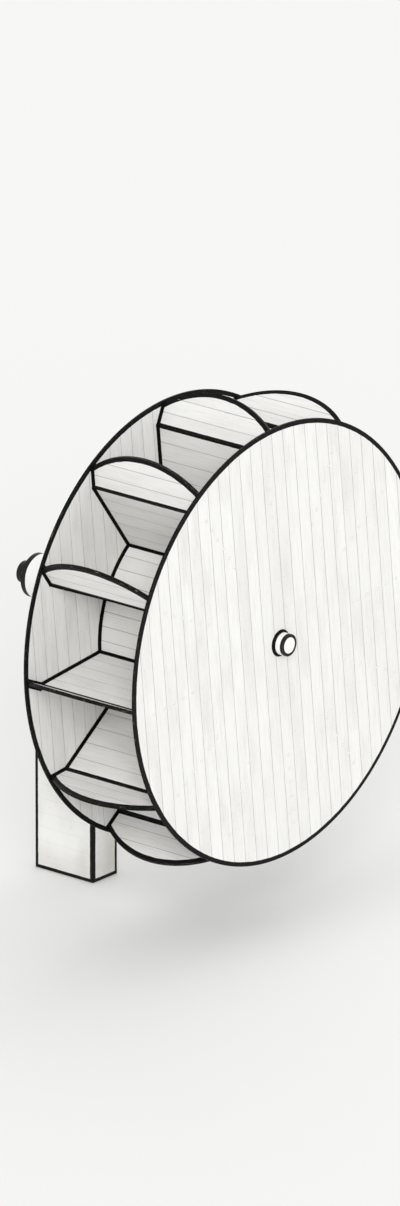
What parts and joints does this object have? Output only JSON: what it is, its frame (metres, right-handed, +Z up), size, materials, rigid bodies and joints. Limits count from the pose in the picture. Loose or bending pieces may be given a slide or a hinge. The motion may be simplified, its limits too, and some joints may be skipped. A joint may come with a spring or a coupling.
{
  "type": "water wheel",
  "caption": "Bucket water wheel: bent paddles between round discs round a drum, overhung on an axle that turns in a bearing barrel on a post.",
  "frame": {"origin": "centre of the post's foot, on the ground", "axes": "+Z up, +Y along the axle from the wheel toward the free end behind the post, +X across the axle"},
  "size_m": [6.4684, 4.55, 7.2342],
  "materials": {
    "painted_timber": "white paint, dark painted edges, satin",
    "painted_steel": "white paint, dark painted edges, satin",
    "painted_iron": "white paint over cast iron, dark painted edges, satin",
    "bronze": "machined",
    "painted_concrete": "white masonry paint, dark painted edges, matt"
  },
  "bodies": {
    "stand": {"post": "painted_concrete", "bearing_barrel": "painted_iron", "front_bush": "bronze", "rear_bush": "bronze"},
    "wheel": {"axle": "painted_steel", "front_disc": "painted_timber", "back_disc": "painted_timber", "drum_segment_01": "painted_timber", "drum_segment_02": "painted_timber", "drum_segment_03": "painted_timber", "drum_segment_04": "painted_timber", "drum_segment_05": "painted_timber", "drum_segment_06": "painted_timber", "drum_segment_07": "painted_timber", "drum_segment_08": "painted_timber", "drum_segment_09": "painted_timber", "drum_segment_10": "painted_timber", "drum_segment_11": "painted_timber", "drum_segment_12": "painted_timber", "paddle_01": "painted_timber", "paddle_02": "painted_timber", "paddle_03": "painted_timber", "paddle_04": "painted_timber", "paddle_05": "painted_timber", "paddle_06": "painted_timber", "paddle_07": "painted_timber", "paddle_08": "painted_timber", "paddle_09": "painted_timber", "paddle_10": "painted_timber", "paddle_11": "painted_timber", "paddle_12": "painted_timber", "paddle_lip_01": "painted_timber", "paddle_lip_02": "painted_timber", "paddle_lip_03": "painted_timber", "paddle_lip_04": "painted_timber", "paddle_lip_05": "painted_timber", "paddle_lip_06": "painted_timber", "paddle_lip_07": "painted_timber", "paddle_lip_08": "painted_timber", "paddle_lip_09": "painted_timber", "paddle_lip_10": "painted_timber", "paddle_lip_11": "painted_timber", "paddle_lip_12": "painted_timber"}
  },
  "joints": [
    {"name": "wheel_spin", "type": "hinge", "parent": "stand", "child": "wheel", "pos_m": [0, -2.57, 4], "axis": [0, 1, 0], "continuous": true}
  ]
}
